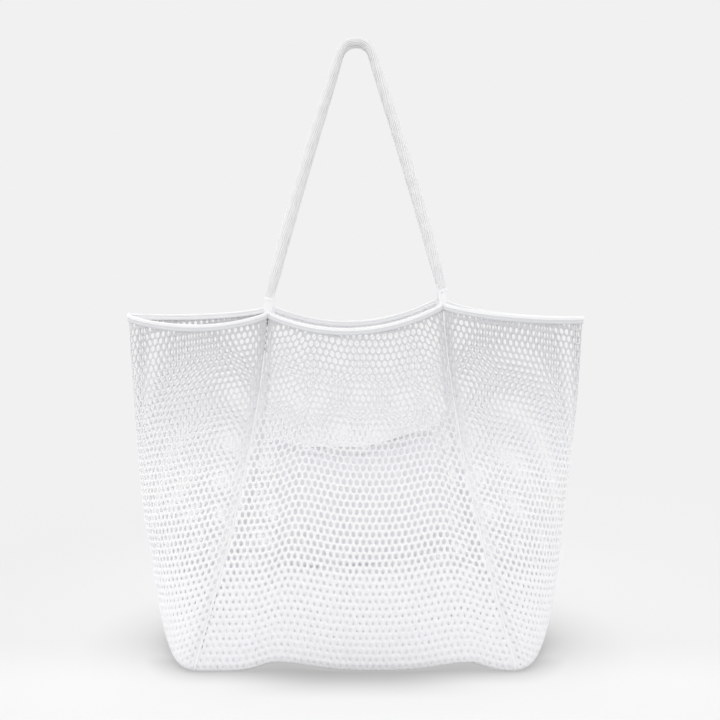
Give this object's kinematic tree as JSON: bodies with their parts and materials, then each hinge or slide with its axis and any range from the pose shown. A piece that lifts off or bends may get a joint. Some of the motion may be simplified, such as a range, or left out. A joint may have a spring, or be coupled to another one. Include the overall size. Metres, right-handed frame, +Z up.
{
  "type": "beach bag",
  "caption": "Mesh beach tote: four mesh panels on a flat mesh base, bound rim, taped seams, inner slip pocket and two corded shoulder handles that swing down.",
  "frame": {"origin": "on the floor, under the middle of the bag", "axes": "+Z up from base to handles, -Y towards the front panel, +X to the front's right"},
  "size_m": [0.5416, 0.1942, 0.7136],
  "materials": {
    "mesh_cloth": "open knitted mesh, matt white",
    "handle_mesh": "closely rolled knitted mesh, matt white",
    "filler_cord": "soft twisted filler cord, white",
    "pocket_cloth": "plain woven cloth, white",
    "binding_tape": "plain woven tape, white",
    "thread": "dense satin stitches, white"
  },
  "bodies": {
    "bag": {"front_panel": "mesh_cloth", "back_panel": "mesh_cloth", "left_gusset": "mesh_cloth", "right_gusset": "mesh_cloth", "base_panel": "mesh_cloth", "front_binding": "binding_tape", "back_binding": "binding_tape", "left_binding": "binding_tape", "right_binding": "binding_tape", "front_left_seam_tape": "binding_tape", "front_right_seam_tape": "binding_tape", "back_left_seam_tape": "binding_tape", "back_right_seam_tape": "binding_tape", "front_base_tape": "binding_tape", "back_base_tape": "binding_tape", "left_base_tape": "binding_tape", "right_base_tape": "binding_tape", "pocket_panel": "pocket_cloth", "pocket_hem_tape": "pocket_cloth", "handle_tabs": "binding_tape", "handle_bartacks": "thread"},
    "front_handle": {"front_handle_sleeve": "handle_mesh", "front_handle_core": "filler_cord"},
    "back_handle": {"back_handle_sleeve": "handle_mesh", "back_handle_core": "filler_cord"}
  },
  "joints": [
    {"name": "front_handle_swing", "type": "hinge", "parent": "bag", "child": "front_handle", "pos_m": [0, -0.0174, 0.4005], "axis": [0.9988, 0, 0.049], "range_deg": [0, 140]},
    {"name": "back_handle_swing", "type": "hinge", "parent": "bag", "child": "back_handle", "pos_m": [0, 0.0174, 0.4085], "axis": [-0.9988, 0, -0.049], "range_deg": [0, 140]}
  ]
}
